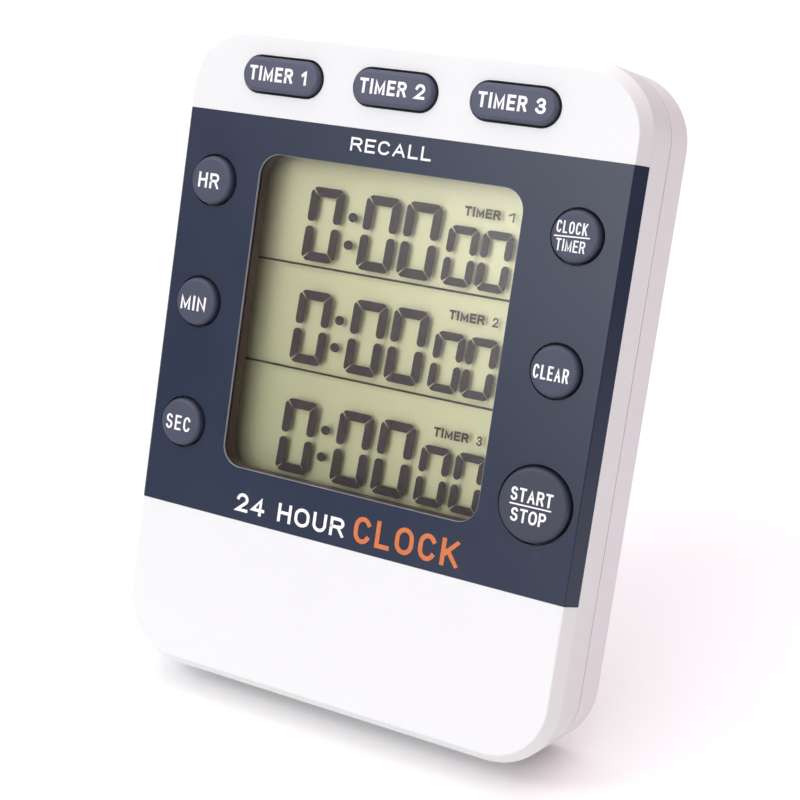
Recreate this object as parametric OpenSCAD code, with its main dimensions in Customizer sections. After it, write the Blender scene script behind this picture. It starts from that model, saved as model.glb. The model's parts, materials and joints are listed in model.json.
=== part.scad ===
// Bench timer with three counters, nine keys and a fold-out stand.
//
// Every piece is first drawn in the upright frame of the case: X to the right, Y from the front
// face to the back, Z up along the face, with zero at the middle of the bottom of the face.
// placed() then leans the whole timer back until it rests on its lower rear edge and its stand.

/* [Case] */
// Width of the case
case_w = 91; // [90:0.5:96]
// Height of the case, along its face
case_h = 120.6; // [119:0.1:126]
// Depth of the case, front to back
case_d = 20; // [20:0.1:22]
// Radius of the four corners of the outline
corner_r = 12.5; // [11:0.5:14]
// Width of the bevel round the front edge
bevel_w = 1.75; // [1:0.05:2]
// Depth of the bevel round the front edge
bevel_d = 2.2; // [1.8:0.05:2.4]
// Radius that softens both ends of the bevel
soften_r = 0.4; // [0.2:0.1:0.6]
// Radius of the rear edge
rear_edge_r = 1; // [0.8:0.1:1.8]
// Thickness of the side and rear walls
wall = 2; // [1.8:0.1:2.2]
// Thickness of the front wall
front_wall = 2.2; // [2.2:0.05:2.4]
// Depth at which the front and rear shells meet
seam_y = 10.5; // [10.2:0.1:11]
// Width of the groove along that seam
seam_gap = 0.4; // [0.2:0.1:0.6]

/* [Front panel] */
// Height of the lower edge of the dark panel
panel_low = 30.6; // [29:0.05:32]
// Height of the upper edge of the dark panel
panel_high = 104.5; // [104:0.05:105.5]
// Thickness of the dark panel
panel_t = 1.2; // [1:0.1:1.4]

/* [Window] */
// Width of the display window
window_w = 52.9; // [48:0.1:53]
// Height of the display window
window_h = 57.8; // [54:0.1:58.4]
// Place of the window's centre across the case
window_x = -0.95; // [-1.2:0.05:-0.7]
// Height of the window's centre
window_z = 69.2; // [68.6:0.1:69.6]
// Corner radius of the window
window_r = 4; // [2:0.5:6]

/* [Keys] */
// Diameter of the small round keys
key_d = 8.8; // [8:0.1:9.8]
// Diameter of the start and stop key
start_key_d = 12.9; // [11:0.1:13.1]
// Length of the oval keys
oval_l = 16.1; // [14:0.1:18]
// Width of the oval keys
oval_w = 6.1; // [5.8:0.1:7.2]
// Distance between neighbouring oval keys
oval_pitch = 23; // [22:0.1:24]
// Height of the row of oval keys
oval_z = 111.9; // [111.2:0.05:112.2]
// Place of the middle oval key across the case
oval_x = -1.9; // [-3:0.1:0]
// Place of the left column of keys
left_x = -36.8; // [-37.2:0.1:-36.6]
// Place of the right column of keys
right_x = 35.8; // [35.7:0.1:36]
// Height of the upper row of round keys
upper_z = 91.75; // [90:0.05:92]
// Height of the middle row of round keys
middle_z = 69.2; // [68:0.1:70]
// Height of the lower row of round keys
lower_z = 46.4; // [46:0.1:48]
// Height of a key above the face
key_proud = 1.2; // [1:0.1:2]
// Travel of a key
key_travel = 0.9; // [0.6:0.1:1]
// Gap between a key and its hole
key_gap = 0.45; // [0.3:0.05:0.5]

/* [Stand] */
// Angle that the timer leans back
lean = 17; // [14:0.5:20]
// Width of the stand
stand_w = 40; // [34:1:41]
// Length of the stand, from its pin to its foot
stand_l = 40; // [37:0.5:41]
// Thickness of the stand
stand_t = 1.8; // [1.6:0.1:1.9]

/* [Battery] */
// Diameter of an AAA cell
cell_d = 10.3; // [9.8:0.1:10.4]
// Length of an AAA cell with its nub
cell_l = 44.5; // [43.5:0.1:44.5]

/* [Hidden] */
$fn = 64;

// Small gaps: between parts of one body, beside a moving part, and to cut cleanly through a face
fit_gap = 0.05;
side_gap = 0.25;
cut = 1;

// Dark panel: half its width, and how far its turned-down edges reach in
panel_half = case_w / 2 - fit_gap;
panel_turn = 1.1;

// Display stack, from front to back
bezel_front_y = panel_t + fit_gap;
bezel_ring_w = 1.5;
bezel_back_y = 3.7;
glass_t = 1;
glass_front_y = bezel_back_y + fit_gap;
glass_mid_y = glass_front_y + glass_t;
glass_back_y = glass_mid_y + fit_gap + glass_t;
reflector_t = 0.15;
glass_w = window_w + 3.1;
glass_h = window_h + 6;
ledge_h = 2.4;
pocket_gap = 0.1;
pocket_wall = 1;
lens_t = 0.7;
lens_lip = 0.8;

// Circuit board and what it carries
board_y = 6;
board_t = 1;
board_back_y = board_y + board_t;
board_low = 34.5;
board_high = 117;
board_half_w = 42.2;
board_corner_r = 10;
zebra_t = 2;

// Keys and the rubber mats under them
flange_y = front_wall + 0.1;
flange_t = 0.7;
flange_w = 0.8;
cap_edge_r = 0.7;
mat_t = 0.4;
mat_front_y = board_y - mat_t;
dome_r = 4;
dome_top_r = 2.7;
dome_wall = 0.5;
stem_y = mat_front_y - dome_wall - key_travel;
rows = [upper_z, middle_z, lower_z];
row_diameters = [key_d, key_d, start_key_d];
oval_places = [for (i = [-1:1]) oval_x + i * oval_pitch];

// Screws and their bosses
case_screw_places = [[-36.5, 8.5], [36.5, 8.5], [-39.5, 102], [39.5, 102]];
screw_r = 0.98;
screw_head_r = 2;
screw_head_t = 1.3;
screw_seat_y = 12.6;
boss_r = 2.6;
tube_r = 3;
board_screw_places = [[-32, 36.6], [32, 36.6], [-30, 104.4], [30, 104.4]];
board_screw_r = 0.75;
board_screw_head_r = 1.5;
board_screw_head_t = 0.8;
post_r = 1.6;

// Battery compartment in the rear shell
cell_y = 13.3;
cell_pitch = 11;
cell_low_z = 63.9;
nub_l = 0.8;
nub_r = 1.9;
tub_half_l = 25.6;
tub_low = cell_low_z - 5.7;
tub_high = cell_low_z + cell_pitch + 5.7;
tub_floor_y = 8.1;
tub_wall = 1.2;
plate_t = 0.4;
spring_r = 3;
spring_tip_r = 1.9;
spring_wire_r = 0.3;
spring_turns = 3;

// Battery door, which swings on two stub pins along its lower edge
door_t = 1.3;
door_half_w = 28;
door_skin_y = case_d - 0.05;
door_axis_y = door_skin_y - door_t / 2;
door_axis_z = tub_low - 2.1;
door_high = tub_high + 2.6;
stub_r = 0.5;
stub_l = 0.9;

// Stand, its pin and its recess in the rear shell
pin_y = case_d - 1.5;
pin_z = 9;
pin_r = 0.6;
knuckle_r = 1.3;
running_gap = 0.05;
stand_skin_y = case_d - 0.4;
stand_off = stand_skin_y - stand_t / 2 - pin_y;
stop_rib_t = 0.3;
recess_floor_y = pin_y - knuckle_r - 0.3;
recess_low = pin_z - knuckle_r - 0.2;
recess_high = pin_z + stand_l + stand_t / 2 + side_gap;
recess_half_w = stand_w / 2 + side_gap;
recess_wall = 1.4;
notch_r = 10;
notch_depth = 1.1;

// Buzzer, magnets and keyhole on the rear wall
buzzer = [-32.6, 26];
buzzer_r = 9.5;
buzzer_seat_y = case_d - wall - 1.6;
buzzer_plate_t = 0.25;
ceramic_r = 6.4;
ceramic_t = 0.2;
sound_hole_r = 0.6;
magnet_places = [[-27, 97], [27, 97]];
magnet_r = 6;
magnet_t = 2.4;
magnet_sink = 0.2;
keyhole_z = 98;
keyhole_r = 3.4;
keyhole_slot_r = 1.7;
keyhole_rise = 7;

// The lean: how far the case is lifted, and how far the stand opens to reach the ground
lift = rear_edge_r + sin(lean) * (case_d - rear_edge_r) - cos(lean) * rear_edge_r;
foot_r = stand_t / 2;
pin_height = lift - sin(lean) * pin_y + cos(lean) * pin_z;
foot_reach = norm([stand_l, stand_off]);
foot_turn = atan2(stand_off, stand_l);
stand_open = acos((foot_r - pin_height) / foot_reach) - foot_turn - lean;

// The footprint runs from the front edge of the case to the foot of the stand
foot_y = pin_y + stand_l * sin(stand_open) + stand_off * cos(stand_open);
foot_z = pin_z + stand_l * cos(stand_open) - stand_off * sin(stand_open);
footprint_back = foot_y * cos(lean) + foot_z * sin(lean) + foot_r;
footprint_front = bevel_w * sin(lean);
footprint_mid = (footprint_front + footprint_back) / 2;

// Colours
white_plastic = "whitesmoke";
navy_plastic = [0.2, 0.23, 0.31];
rubber_grey = [0.28, 0.31, 0.37];
lcd_green = [0.72, 0.74, 0.55];

// ---- Helpers ----

function unit(v) = v / norm(v);
function half_angle(p, a, b) = acos(unit(a - p) * unit(b - p)) / 2;
function fillet_ends(p, a, b, r) =
    let (t = r / tan(half_angle(p, a, b)))
    [p + unit(a - p) * t, p + unit(b - p) * t];
function fillet_centre(p, a, b, r) =
    p + unit(unit(a - p) + unit(b - p)) * r / sin(half_angle(p, a, b));

// A convex polygon whose corners are rounded by true arcs, one radius for each corner
module soft_polygon(points, radii) {
    n = len(points);
    polygon([
        for (i = [0:n - 1])
            let (a = points[(i + n - 1) % n], b = points[(i + 1) % n])
            each radii[i] > 0 ? fillet_ends(points[i], a, b, radii[i]) : [points[i]]
    ]);
    for (i = [0:n - 1]) {
        if (radii[i] > 0) {
            a = points[(i + n - 1) % n];
            b = points[(i + 1) % n];
            translate(fillet_centre(points[i], a, b, radii[i])) circle(r = radii[i]);
        }
    }
}

// A rectangle with round corners, centred
module soft_rectangle(w, h, r) {
    square([w - 2 * r, h], center = true);
    square([w, h - 2 * r], center = true);
    for (x = [-1, 1], y = [-1, 1]) {
        translate([x * (w / 2 - r), y * (h / 2 - r)]) circle(r = r);
    }
}

// Leans the upright timer back and sets it down on the ground
module placed() {
    translate([0, -footprint_mid, lift]) rotate([-lean, 0, 0]) children();
}

// Lays an outline drawn across the face from depth y0 to depth y1
module slab(y0, y1) {
    translate([0, y1, 0]) rotate([90, 0, 0]) linear_extrude(y1 - y0) children();
}

// Stands a shape on the face at a place, its own +Z pointing out of the face
module on_face(place) {
    translate([place[0], 0, place[1]]) rotate([90, 0, 0]) children();
}

// A rod through the case from depth y0 to depth y1
module rod(place, r, y0, y1) {
    translate([place[0], y1, place[1]]) rotate([90, 0, 0]) cylinder(r = r, h = y1 - y0);
}

// A rod along X, centred at a depth and height
module cross_rod(y, z, r, l) {
    translate([0, y, z]) rotate([0, 90, 0]) cylinder(r = r, h = l, center = true);
}

// A box from one corner to the opposite one
module box(low, high) {
    translate(low) cube(high - low);
}

// Half-width against depth of the whole case, the section that is swept round its outline
module case_section(half) {
    points = [
        [-half, case_d], [-half, bevel_d], [bevel_w - half, 0],
        [half - bevel_w, 0], [half, bevel_d], [half, case_d]
    ];
    radii = [rear_edge_r, soften_r, soften_r, soften_r, soften_r, rear_edge_r];
    soft_polygon(points, radii);
}

// The part of that section between two depths, drawn in by an inset
module section_band(half, y0, y1, inset) {
    intersection() {
        case_section(half);
        translate([inset - half, y0]) square([2 * (half - inset), y1 - y0]);
    }
}

// The solid case between two depths
module case_solid(y0, y1, inset = 0) {
    straight_w = case_w - 2 * corner_r;
    straight_h = case_h - 2 * corner_r;
    translate([0, 0, case_h / 2]) {
        linear_extrude(straight_h, center = true) section_band(case_w / 2, y0, y1, inset);
        rotate([0, -90, 0])
            linear_extrude(straight_w, center = true)
                section_band(case_h / 2, y0, y1, inset);
        for (x = [-1, 1], z = [-1, 1]) {
            translate([x * straight_w / 2, 0, z * straight_h / 2])
                rotate([-90, 0, 0])
                    rotate_extrude()
                        intersection() {
                            section_band(corner_r, y0, y1, inset);
                            square([corner_r, case_d]);
                        }
        }
    }
}

// The outline of the case, drawn in by an inset
module case_outline(inset) {
    translate([0, case_h / 2])
        soft_rectangle(case_w - 2 * inset, case_h - 2 * inset, corner_r - inset);
}

// The window outline, grown by a margin
module window_outline(grow) {
    translate([window_x, window_z])
        soft_rectangle(window_w + 2 * grow, window_h + 2 * grow, window_r + grow);
}

// A plain rectangle centred on the window
module window_box(w, h) {
    translate([window_x, window_z]) square([w, h], center = true);
}

// The section of the dark panel across the case: a plate whose edges turn down over the bevel
module panel_section() {
    difference() {
        soft_polygon(
            [
                [-panel_half, bevel_d], [bevel_w - case_w / 2, 0],
                [case_w / 2 - bevel_w, 0], [panel_half, bevel_d]
            ],
            [0, soften_r, soften_r, 0]
        );
        translate([panel_turn - panel_half, panel_t])
            square([2 * (panel_half - panel_turn), bevel_d]);
    }
}

// The section of the pocket that the panel sits in, open at the front and at both sides
module panel_pocket() {
    half = case_w / 2 + cut;
    core = panel_half - panel_turn - fit_gap;
    difference() {
        translate([-half, -cut]) square([2 * half, bevel_d + fit_gap + cut]);
        translate([-core, panel_t + fit_gap]) square([2 * core, bevel_d]);
    }
}

// Half of the side view of a key, turned or swept to make it
module key_profile(r) {
    soft_polygon([[0, -stem_y], [r, -stem_y], [r, key_proud], [0, key_proud]], [0, 0, cap_edge_r, 0]);
    translate([0, -flange_y - flange_t]) square([r + flange_w, flange_t]);
}

// A round key
module round_key(place, d) {
    color(rubber_grey)
        placed()
            on_face(place)
                rotate_extrude()
                    key_profile(d / 2);
}

// An oval key
module oval_key(x) {
    straight = oval_l - oval_w;
    color(rubber_grey)
        placed()
            on_face([x, oval_z]) {
                for (side = [-1, 1]) {
                    translate([side * straight / 2, 0, 0]) rotate_extrude() key_profile(oval_w / 2);
                }
                rotate([90, 0, 90])
                    linear_extrude(straight, center = true) {
                        key_profile(oval_w / 2);
                        mirror([1, 0]) key_profile(oval_w / 2);
                    }
            }
}

// The outline of an oval key's hole
module oval_outline(grow) {
    r = oval_w / 2 + grow;
    soft_rectangle(oval_l + 2 * grow, 2 * r, r - 0.001);
}

// One collapsible dome of a key mat, on the front of the board
module dome() {
    height = mat_front_y - stem_y;
    rotate_extrude() {
        polygon([
            [dome_top_r - dome_wall, 0], [dome_r - dome_wall, 0], [dome_r, 0],
            [dome_top_r, height], [0, height], [0, height - dome_wall],
            [dome_top_r - dome_wall, height - dome_wall], [dome_top_r - 2 * dome_wall, 0.6]
        ]);
    }
}

// ---- Case and window ----

module front_case() {
    color(white_plastic) placed() {
        difference() {
            case_solid(0, seam_y);
            slab(front_wall, seam_y + cut) case_outline(wall);
            translate([0, 0, panel_low - fit_gap])
                linear_extrude(panel_high - panel_low + 2 * fit_gap)
                    panel_pocket();
            slab(-cut, front_wall + cut) window_outline(bezel_ring_w);
            for (i = [0:2]) {
                rod([left_x, rows[i]], key_d / 2 + key_gap, -cut, front_wall + cut);
                rod([right_x, rows[i]], row_diameters[i] / 2 + key_gap, -cut, front_wall + cut);
                slab(-cut, front_wall + cut) translate([oval_places[i], oval_z]) oval_outline(key_gap);
            }
        }
        for (place = case_screw_places) {
            difference() {
                rod(place, boss_r, front_wall, seam_y - fit_gap);
                rod(place, screw_r, screw_seat_y - 8.6, seam_y + cut);
            }
        }
        for (place = board_screw_places) {
            difference() {
                rod(place, post_r, front_wall, board_y);
                rod(place, board_screw_r, front_wall + 0.6, board_y + cut);
            }
        }
    }
}

module face_panel() {
    color(navy_plastic) placed() {
        difference() {
            translate([0, 0, panel_low]) linear_extrude(panel_high - panel_low) panel_section();
            slab(-cut, panel_t + cut) window_outline(0);
            slab(panel_t - lens_t, panel_t + cut) window_outline(lens_lip);
            for (i = [0:2]) {
                rod([left_x, rows[i]], key_d / 2 + key_gap, -cut, panel_t + cut);
                rod([right_x, rows[i]], row_diameters[i] / 2 + key_gap, -cut, panel_t + cut);
            }
        }
    }
}

module display_window() {
    color("lightcyan", 0.4)
        placed()
            slab(panel_t - lens_t + fit_gap, panel_t)
                window_outline(lens_lip - fit_gap);
}

// ---- Display ----

module lcd_bezel() {
    pocket_w = glass_w + 2 * pocket_gap;
    pocket_h = glass_h + 2 * pocket_gap;
    frame_w = pocket_w + 2 * pocket_wall;
    frame_h = pocket_h + 2 * pocket_wall;
    color([0.24, 0.2, 0.19]) placed() {
        difference() {
            union() {
                slab(bezel_front_y, bezel_back_y) window_outline(bezel_ring_w - pocket_gap);
                slab(front_wall + fit_gap, board_y - fit_gap) window_box(frame_w, frame_h);
            }
            slab(-cut, board_y + cut) window_outline(0);
            slab(bezel_back_y, board_y + cut) window_box(pocket_w, pocket_h);
        }
    }
}

module lcd_front_glass() {
    color("lightgrey", 0.5) placed() slab(glass_front_y, glass_mid_y) window_box(glass_w, glass_h);
}

module lcd_rear_glass() {
    color("lightgrey", 0.5)
        placed()
            slab(glass_mid_y + fit_gap, glass_back_y)
                window_box(glass_w, glass_h - 2 * ledge_h);
}

module lcd_reflector() {
    color(lcd_green)
        placed()
            slab(glass_back_y, glass_back_y + reflector_t)
                window_box(glass_w, glass_h - 2 * ledge_h);
}

module zebra_strips() {
    ledge_z = (glass_h - ledge_h) / 2;
    color("dimgray") placed() {
        for (side = [-1, 1]) {
            slab(glass_mid_y, board_y)
                translate([window_x, window_z + side * ledge_z])
                    square([window_w, zebra_t], center = true);
        }
    }
}

// ---- Board and what is on it ----

module main_board() {
    middle = (board_low + board_high) / 2;
    color("darkgreen") placed() {
        difference() {
            slab(board_y, board_back_y) {
                translate([0, middle])
                    soft_rectangle(2 * board_half_w, board_high - board_low, board_corner_r);
                translate([-board_half_w, board_low])
                    square([2 * board_half_w, board_corner_r]);
            }
            for (place = case_screw_places) {
                rod(place, boss_r + 0.5, board_y - cut, board_back_y + cut);
            }
            for (place = board_screw_places) {
                rod(place, board_screw_r + 0.1, board_y - cut, board_back_y + cut);
            }
        }
    }
}

module chip_blob() {
    blob_r = 6;
    sphere_r = 11;
    drop = sqrt(sphere_r * sphere_r - blob_r * blob_r);
    color("black") placed()
        translate([8, board_back_y, 46])
            rotate([-90, 0, 0])
                rotate_extrude()
                    intersection() {
                        translate([0, -drop]) circle(r = sphere_r);
                        square([blob_r, sphere_r]);
                    }
}

module quartz_crystal() {
    can_r = 1;
    can_l = 6;
    color("silver") placed() {
        translate([21, board_back_y + can_r, 42])
            cylinder(r = can_r, h = can_l);
        box([20.4, board_back_y, 40.2], [21.6, board_back_y + 0.6, 42]);
    }
}

module chip_parts() {
    size = [1.6, 0.7, 0.8];
    color("peru") placed() {
        for (i = [0:5]) {
            translate([-14 + 4 * i, board_back_y, 37 + 2 * (i % 2)]) cube(size);
        }
        for (i = [0:3]) {
            translate([-18, board_back_y, 42 + 3 * i]) cube(size);
        }
    }
}

module board_screws() {
    color("silver") placed() {
        for (place = board_screw_places) {
            rod(place, board_screw_r - 0.02, front_wall + 0.8, board_back_y);
            rod(place, board_screw_head_r, board_back_y, board_back_y + board_screw_head_t);
        }
    }
}

// A rubber mat with one dome for each place
module key_mat(low, high, places) {
    color([0.75, 0.76, 0.78]) placed() {
        difference() {
            box([low[0], mat_front_y, low[1]], [high[0], board_y, high[1]]);
            for (place = places) {
                rod(place, dome_r - dome_wall, mat_front_y - cut, board_y + cut);
            }
        }
        for (place = places) {
            translate([0, mat_front_y, 0]) on_face(place) dome();
        }
    }
}

module key_mat_left() {
    reach = [5.4, 5.4];
    key_mat(
        [left_x, lower_z] - reach,
        [left_x, upper_z] + reach,
        [for (z = rows) [left_x, z]]
    );
}

module key_mat_right() {
    reach = [5.4, 5.4];
    key_mat(
        [right_x, lower_z] - reach,
        [right_x, upper_z] + reach,
        [for (z = rows) [right_x, z]]
    );
}

module key_mat_top() {
    reach = [7, 4.6];
    key_mat(
        [oval_places[0], oval_z] - reach,
        [oval_places[2], oval_z] + reach,
        [for (x = oval_places) [x, oval_z]]
    );
}

// ---- Keys ----

module timer_1_key() {
    oval_key(oval_places[0]);
}

module timer_2_key() {
    oval_key(oval_places[1]);
}

module timer_3_key() {
    oval_key(oval_places[2]);
}

module hour_key() {
    round_key([left_x, upper_z], key_d);
}

module minute_key() {
    round_key([left_x, middle_z], key_d);
}

module second_key() {
    round_key([left_x, lower_z], key_d);
}

module clock_key() {
    round_key([right_x, upper_z], key_d);
}

module clear_key() {
    round_key([right_x, middle_z], key_d);
}

module start_stop_key() {
    round_key([right_x, lower_z], start_key_d);
}

// ---- Rear shell ----

module rear_case() {
    neck_y = seam_y + seam_gap;
    inner_y = case_d - wall;
    tongue_low_y = seam_y - 2;
    color(white_plastic) placed() {
        difference() {
            union() {
                difference() {
                    union() {
                        case_solid(neck_y, case_d);
                        slab(seam_y, neck_y) case_outline(seam_gap);
                        slab(tongue_low_y, seam_y) case_outline(wall + 0.1);
                    }
                    slab(tongue_low_y - cut, inner_y) case_outline(wall + 0.9);
                }
                box(
                    [-tub_half_l - tub_wall, tub_floor_y - 0.8, tub_low - tub_wall],
                    [tub_half_l + tub_wall, inner_y, tub_high + tub_wall]
                );
                box(
                    [-recess_half_w - recess_wall, recess_floor_y - recess_wall, recess_low - recess_wall],
                    [recess_half_w + recess_wall, inner_y, recess_high + recess_wall]
                );
                for (side = [-1, 1]) {
                    cross_ear(side);
                    door_ear(side);
                }
                for (place = magnet_places) {
                    rod(place, magnet_r + 1.3, case_d - magnet_t - magnet_sink - 1.2, inner_y);
                }
                for (place = case_screw_places) {
                    rod(place, tube_r, seam_y + fit_gap, inner_y);
                }
                rod(buzzer, buzzer_r + 0.5, buzzer_seat_y, inner_y);
            }
            battery_hollow();
            stand_hollow();
            for (place = magnet_places) {
                rod(place, magnet_r + 0.1, case_d - magnet_t - magnet_sink, case_d + cut);
            }
            for (place = case_screw_places) {
                rod(place, 1.2, seam_y - cut, case_d);
                rod(place, screw_head_r + 0.2, screw_seat_y, case_d + cut);
            }
            rod(buzzer, buzzer_r - 1.5, buzzer_seat_y - cut, inner_y);
            for (i = [0:6]) {
                turn = 60 * i;
                reach = i < 6 ? 3.2 : 0;
                rod(buzzer + reach * [cos(turn), sin(turn)], sound_hole_r, inner_y - cut, case_d + cut);
            }
            keyhole();
        }
    }
}

// The pad behind one end of the stand's pin
module cross_ear(side) {
    x = side * (recess_half_w + 1.4);
    box([x - 1.4, pin_y - 2.2, pin_z - 2.2], [x + 1.4, case_d - wall, pin_z + 2.2]);
}

// The pad behind one stub pin of the battery door
module door_ear(side) {
    x = side * (door_half_w + 1.1);
    box([x - 1.1, door_axis_y - 1.8, door_axis_z - 1.5], [x + 1.1, case_d - wall, door_axis_z + 1.5]);
}

module battery_hollow() {
    box([-tub_half_l, tub_floor_y, tub_low], [tub_half_l, case_d + cut, tub_high]);
    box(
        [-door_half_w - side_gap, door_skin_y - door_t - 0.1, door_axis_z - door_t / 2 - side_gap],
        [door_half_w + side_gap, case_d + cut, door_high + side_gap]
    );
    cross_rod(door_axis_y, door_axis_z, stub_r + running_gap, 2 * (door_half_w + stub_l + 0.2));
}

module stand_hollow() {
    box(
        [-recess_half_w, recess_floor_y, recess_low],
        [recess_half_w, case_d + cut, recess_high]
    );
    cross_rod(pin_y, pin_z, pin_r + running_gap, stand_w + 4);
    // Finger notch beside the tip of the stand
    translate([0, case_d + notch_r - notch_depth, recess_high]) sphere(r = notch_r);
}

module keyhole() {
    slab(case_d - wall - cut, case_d + cut) {
        translate([0, keyhole_z]) circle(r = keyhole_r);
        translate([0, keyhole_z + keyhole_rise]) circle(r = keyhole_slot_r);
        translate([-keyhole_slot_r, keyhole_z]) square([2 * keyhole_slot_r, keyhole_rise]);
    }
}

module battery_door() {
    low = door_axis_z;
    skin = door_skin_y;
    color(white_plastic) placed() {
        difference() {
            union() {
                box([-door_half_w, skin - door_t, low], [door_half_w, skin, door_high]);
                cross_rod(door_axis_y, door_axis_z, door_t / 2, 2 * door_half_w);
                cross_rod(door_axis_y, door_axis_z, stub_r, 2 * (door_half_w + stub_l));
            }
            // Slots that free the latch tongue
            for (side = [-1, 1]) {
                box(
                    [side * 6 - 0.4, skin - door_t - cut, door_high - 8],
                    [side * 6 + 0.4, skin + cut, door_high + cut]
                );
            }
            // Grip grooves across the tongue
            for (i = [0:2]) {
                cross_rod(skin + 0.2, door_high - 2.5 - 1.8 * i, 0.6, 8);
            }
        }
    }
}

// ---- Stand ----

// Turns a part drawn with the stand folded flat into its open place
module opened() {
    translate([0, pin_y, pin_z]) rotate([-stand_open, 0, 0]) children();
}

module stand() {
    skin = stand_skin_y - pin_y;
    inner = skin - stand_t;
    web_t = 1;
    color(white_plastic) placed() opened() {
        difference() {
            union() {
                box([-stand_w / 2, inner, 0], [stand_w / 2, skin, stand_l]);
                cross_rod(0, 0, knuckle_r, stand_w);
                cross_rod(stand_off, stand_l, stand_t / 2, stand_w);
                // Ribs that meet the lower rim of the recess when the stand is open
                for (side = [-1, 1]) {
                    box([side * 13 - 2, inner, 0], [side * 13 + 2, skin + stop_rib_t, 7]);
                }
            }
            cross_rod(0, 0, pin_r + running_gap, stand_w + 2);
            // Hollow back of the flap, inside its rim
            box(
                [3 - stand_w / 2, inner - cut, 5],
                [stand_w / 2 - 3, skin - web_t, stand_l - 4]
            );
        }
        for (x = [-1, 1]) {
            box([x * 6 - 0.5, inner, 4.5], [x * 6 + 0.5, skin - web_t + 0.1, stand_l - 3.5]);
        }
    }
}

module stand_pin() {
    color("silver") placed() cross_rod(pin_y, pin_z, pin_r, stand_w + 3.6);
}

// ---- Battery ----

// An AAA cell along X whose nub points to side
module cell(z, side) {
    body_l = cell_l - nub_l;
    tip = side * (tub_half_l - plate_t - fit_gap);
    color(side > 0 ? "teal" : "darkcyan") placed() {
        translate([tip - side * cell_l / 2, cell_y, z]) {
            translate([-side * nub_l / 2, 0, 0]) cross_rod(0, 0, cell_d / 2, body_l);
            cross_rod(0, 0, nub_r, cell_l);
        }
    }
}

module aaa_cell_upper() {
    cell(cell_low_z + cell_pitch, -1);
}

module aaa_cell_lower() {
    cell(cell_low_z, 1);
}

module contact_plates() {
    half_h = 4;
    color("silver") placed() {
        for (z = [cell_low_z, cell_low_z + cell_pitch]) {
            box(
                [-tub_half_l, cell_y - 4, z - half_h],
                [plate_t - tub_half_l, cell_y + 4, z + half_h]
            );
        }
        box(
            [tub_half_l - plate_t, cell_y - 4, cell_low_z - half_h],
            [tub_half_l, cell_y + 4, cell_low_z + cell_pitch + half_h]
        );
    }
}

// A conical spring along +X, from a plate to the flat end of a cell
module cone_spring(length) {
    sides = 6;
    steps = 10 * spring_turns;
    ring = [
        for (i = [0:steps])
            let (turn = 360 * i / 10, r = spring_r + (spring_tip_r - spring_r) * i / steps)
            for (j = [0:sides - 1])
                let (a = 360 * j / sides, reach = r + spring_wire_r * cos(a))
                [
                    spring_wire_r + (length - 2 * spring_wire_r) * i / steps + spring_wire_r * sin(a),
                    reach * cos(turn),
                    reach * sin(turn)
                ]
    ];
    faces = concat(
        [[for (j = [0:sides - 1]) j]],
        [
            for (i = [0:steps - 1], j = [0:sides - 1])
                let (k = (j + 1) % sides)
                [i * sides + k, i * sides + j, (i + 1) * sides + j, (i + 1) * sides + k]
        ],
        [[for (j = [sides - 1:-1:0]) steps * sides + j]]
    );
    polyhedron(points = ring, faces = faces, convexity = 6);
}

module contact_springs() {
    length = 2 * (tub_half_l - plate_t) - cell_l - 3 * fit_gap;
    start = tub_half_l - plate_t - fit_gap;
    color("silver") placed() {
        translate([-start, cell_y, cell_low_z]) cone_spring(length);
        translate([start, cell_y, cell_low_z + cell_pitch]) rotate([0, 0, 180]) cone_spring(length);
    }
}

// ---- Buzzer and wires ----

module buzzer_plate() {
    color("gold") placed() rod(buzzer, buzzer_r, buzzer_seat_y - buzzer_plate_t, buzzer_seat_y);
}

module buzzer_ceramic() {
    back = buzzer_seat_y - buzzer_plate_t;
    color("ivory") placed() rod(buzzer, ceramic_r, back - ceramic_t, back);
}

// A wire drawn in a plane, with a round bend at each of its square corners
module wire(points, r) {
    bend = 1.5;
    last = len(points) - 1;
    for (i = [0:last - 1]) {
        step = unit(points[i + 1] - points[i]);
        start = points[i] + (i > 0 ? bend : 0) * step;
        end = points[i + 1] - (i < last - 1 ? bend : 0) * step;
        translate(start) rotate([0, 90, atan2(step[1], step[0])]) cylinder(r = r, h = norm(end - start));
    }
    for (i = [1:last - 1]) {
        a = unit(points[i - 1] - points[i]);
        b = unit(points[i + 1] - points[i]);
        from = cross(a, b) > 0 ? -a : -b;
        translate(points[i] + bend * (a + b))
            rotate([0, 0, atan2(from[1], from[0])])
                rotate_extrude(angle = 90)
                    translate([bend, 0])
                        circle(r = r);
    }
}

module buzzer_wires() {
    start_y = buzzer_seat_y - buzzer_plate_t - ceramic_t;
    color("firebrick") placed() {
        for (way = [[-30, 38], [-34.5, 41]]) {
            translate([way[0], 0, 0])
                rotate([90, 0, 90])
                    wire([[start_y, 28], [11, 28], [11, way[1]], [board_back_y, way[1]]], 0.45);
        }
    }
}

module battery_wires() {
    edge_x = -tub_half_l - tub_wall;
    color("darkred") placed() {
        for (way = [[-31, 63], [-33, 75]]) {
            translate([0, 0, way[1]]) wire([[edge_x, 12], [way[0], 12], [way[0], board_back_y]], 0.5);
        }
    }
}

// ---- Fasteners and magnets ----

module magnets() {
    color("dimgray") placed() {
        for (place = magnet_places) {
            rod(place, magnet_r, case_d - magnet_t - magnet_sink, case_d - magnet_sink);
        }
    }
}

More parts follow.
